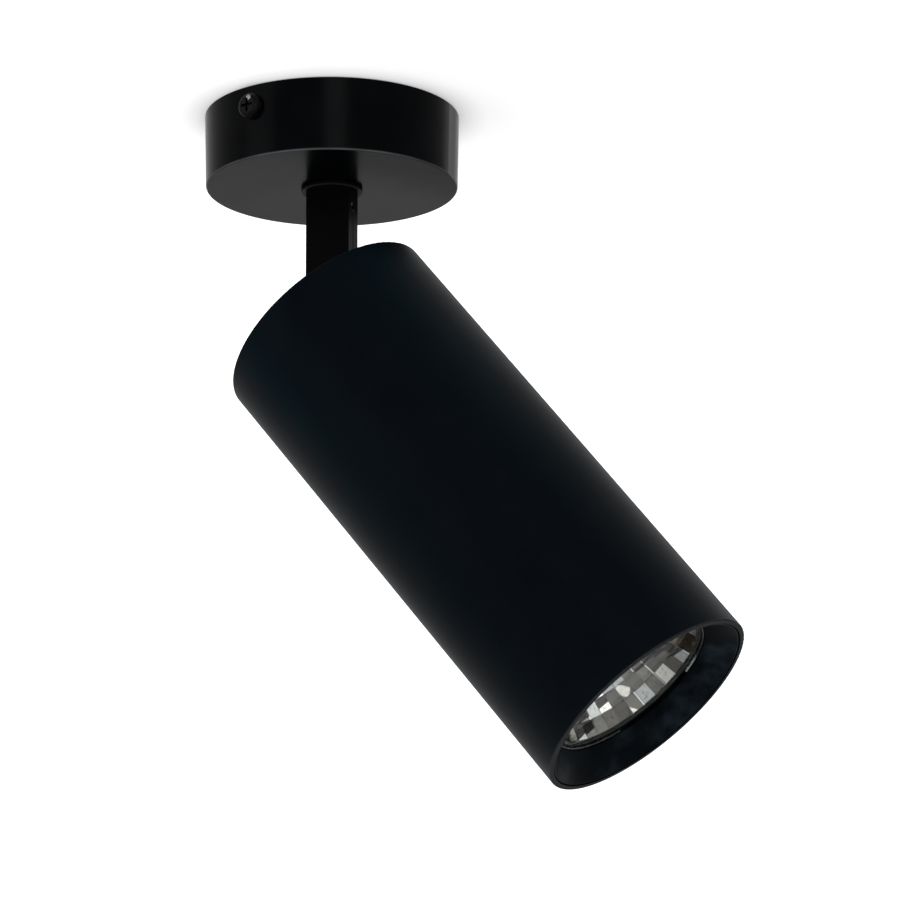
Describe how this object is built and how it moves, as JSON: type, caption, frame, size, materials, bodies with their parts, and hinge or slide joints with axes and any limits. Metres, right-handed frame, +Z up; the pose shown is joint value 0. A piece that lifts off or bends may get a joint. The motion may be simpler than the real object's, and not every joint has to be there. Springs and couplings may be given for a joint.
{
  "type": "surface mounted ceiling spotlight",
  "caption": "Round ceiling canopy with a rectangular swivel arm and a tilting tubular spotlight head that holds a twist-lock reflector lamp behind an anti-glare ring.",
  "frame": {"origin": "centre of the canopy's face on the ceiling", "axes": "+Z up into the ceiling; at rest the head leans from straight down towards +X and its tilt axis lies along Y"},
  "size_m": [0.1588, 0.0786, 0.2025],
  "materials": {
    "canopy_black": "satin powder coat",
    "head_black": "matt powder coat",
    "ring_black": "matt powder coat",
    "arm_black": "satin powder coat",
    "black_steel": "blackened",
    "zinc_steel": "zinc plated",
    "spring_steel": "bright wire",
    "brass": "plain",
    "block_white": "moulded",
    "bush_natural": "moulded",
    "grommet_rubber": "moulded",
    "lead_sleeve": "woven sleeve over silicone",
    "holder_ceramic": "unglazed",
    "lamp_ceramic": "unglazed",
    "lamp_mirror": "metal coated inside",
    "lamp_front": "clear",
    "lamp_bulb": "clear"
  },
  "bodies": {
    "canopy_group": {"canopy": "canopy_black", "ceiling_bracket": "zinc_steel", "canopy_screws": "black_steel", "earth_screw": "brass", "earth_washer": "brass", "terminal_block": "block_white", "terminal_clamps": "brass", "terminal_screws": "zinc_steel", "block_screw": "zinc_steel", "swivel_bush": "bush_natural", "supply_leads": "lead_sleeve"},
    "arm_group": {"swivel_stem": "arm_black", "disc_spring": "spring_steel", "stop_washer": "zinc_steel", "stem_nut": "zinc_steel", "stem_lock_nut": "zinc_steel", "arm": "arm_black", "arm_grub_screw": "black_steel", "pivot_sleeve": "zinc_steel", "arm_leads": "lead_sleeve"},
    "head_group": {"tilt_yoke": "black_steel", "pivot_screw": "black_steel", "friction_washers": "bush_natural", "pivot_spring_washer": "spring_steel", "pivot_nut": "zinc_steel", "yoke_screws": "black_steel", "rear_cap": "head_black", "lead_grommet": "grommet_rubber", "head_tube": "head_black", "front_ring": "ring_black", "holder_bracket": "zinc_steel", "lamp_holder": "holder_ceramic", "holder_contacts": "brass", "holder_screws": "zinc_steel", "lamp_reflector": "lamp_mirror", "lamp_glass": "lamp_front", "lamp_base": "lamp_ceramic", "lamp_pins": "zinc_steel", "lamp_burner": "lamp_bulb", "lamp_spring": "spring_steel", "head_leads": "lead_sleeve"}
  },
  "joints": [
    {"name": "swivel", "type": "hinge", "parent": "canopy_group", "child": "arm_group", "pos_m": [0, 0, -0.0215], "axis": [0, 0, 1], "range_deg": [-170, 170]},
    {"name": "tilt", "type": "hinge", "parent": "arm_group", "child": "head_group", "pos_m": [0, 0, -0.0647], "axis": [0, -1, 0], "range_deg": [-111.3, 32.7]}
  ]
}
